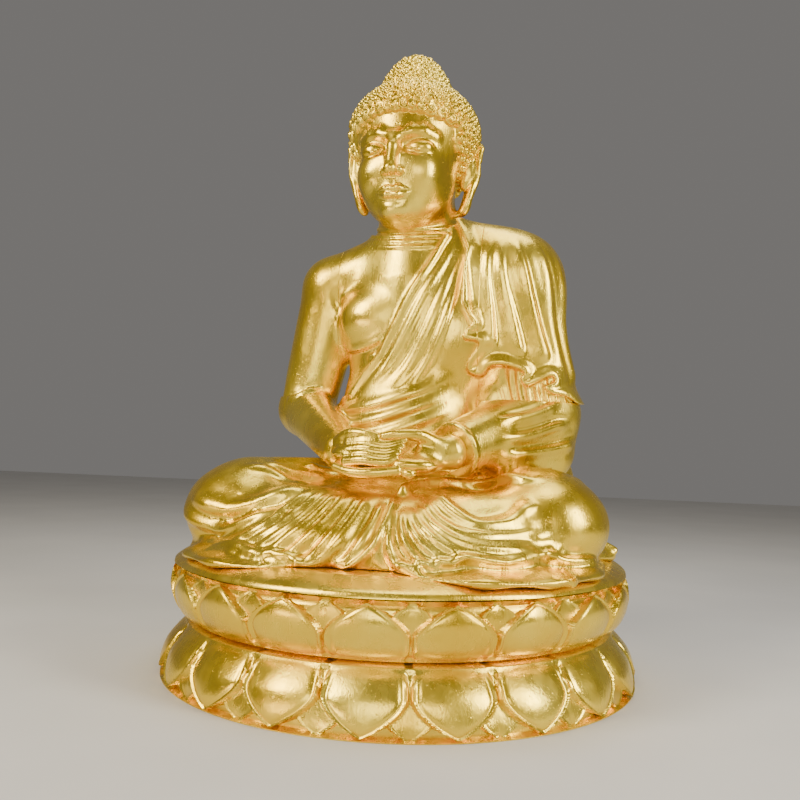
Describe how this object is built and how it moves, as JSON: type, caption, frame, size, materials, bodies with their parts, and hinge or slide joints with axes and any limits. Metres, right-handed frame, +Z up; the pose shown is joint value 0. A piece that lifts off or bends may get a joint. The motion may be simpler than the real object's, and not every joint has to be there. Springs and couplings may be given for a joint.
{
  "type": "seated buddha statue",
  "caption": "Seated meditating figure with robe, curled hair and joined hands, on a round double lotus throne; hollow gilt castings clamped by a tie rod.",
  "frame": {"origin": "centre of the circle that the throne stands on, in its underside plane", "axes": "+Z up, -Y is the way the figure faces, +X towards the figure's left hand side"},
  "size_m": [0.756, 0.756, 1.016],
  "materials": {
    "gilt_brass": "gilt, brushed on and burnished, with small pits",
    "zinc_steel": "bright zinc",
    "plywood": "oiled plywood"
  },
  "bodies": {
    "root": {"anchor_bar": "zinc_steel", "anchor_nut": "zinc_steel", "anchor_washer": "zinc_steel", "brow_jewel": "gilt_brass", "closing_plate": "plywood", "crown_cap": "gilt_brass", "head": "gilt_brass", "lap_and_legs": "gilt_brass", "left_forearm": "gilt_brass", "left_hand": "gilt_brass", "left_shoulder_sleeve": "zinc_steel", "left_upper_arm": "gilt_brass", "left_wrist_dowel": "zinc_steel", "lower_lotus_tier": "gilt_brass", "neck_nut": "zinc_steel", "neck_plate": "zinc_steel", "neck_washer": "zinc_steel", "plate_screw_1": "zinc_steel", "plate_screw_2": "zinc_steel", "plate_screw_3": "zinc_steel", "plate_screw_4": "zinc_steel", "plate_screw_5": "zinc_steel", "plate_screw_6": "zinc_steel", "right_forearm": "gilt_brass", "right_hand": "gilt_brass", "right_shoulder_sleeve": "zinc_steel", "right_upper_arm": "gilt_brass", "right_wrist_dowel": "zinc_steel", "seat_slab": "gilt_brass", "tie_rod": "zinc_steel", "tier_bolt_1": "zinc_steel", "tier_bolt_2": "zinc_steel", "tier_bolt_3": "zinc_steel", "tier_bolt_4": "zinc_steel", "tier_bolt_5": "zinc_steel", "tier_bolt_6": "zinc_steel", "tier_nut_1": "zinc_steel", "tier_nut_2": "zinc_steel", "tier_nut_3": "zinc_steel", "tier_nut_4": "zinc_steel", "tier_nut_5": "zinc_steel", "tier_nut_6": "zinc_steel", "topknot": "gilt_brass", "topknot_dowel": "zinc_steel", "torso": "gilt_brass", "upper_lotus_tier": "gilt_brass"}
  },
  "joints": []
}
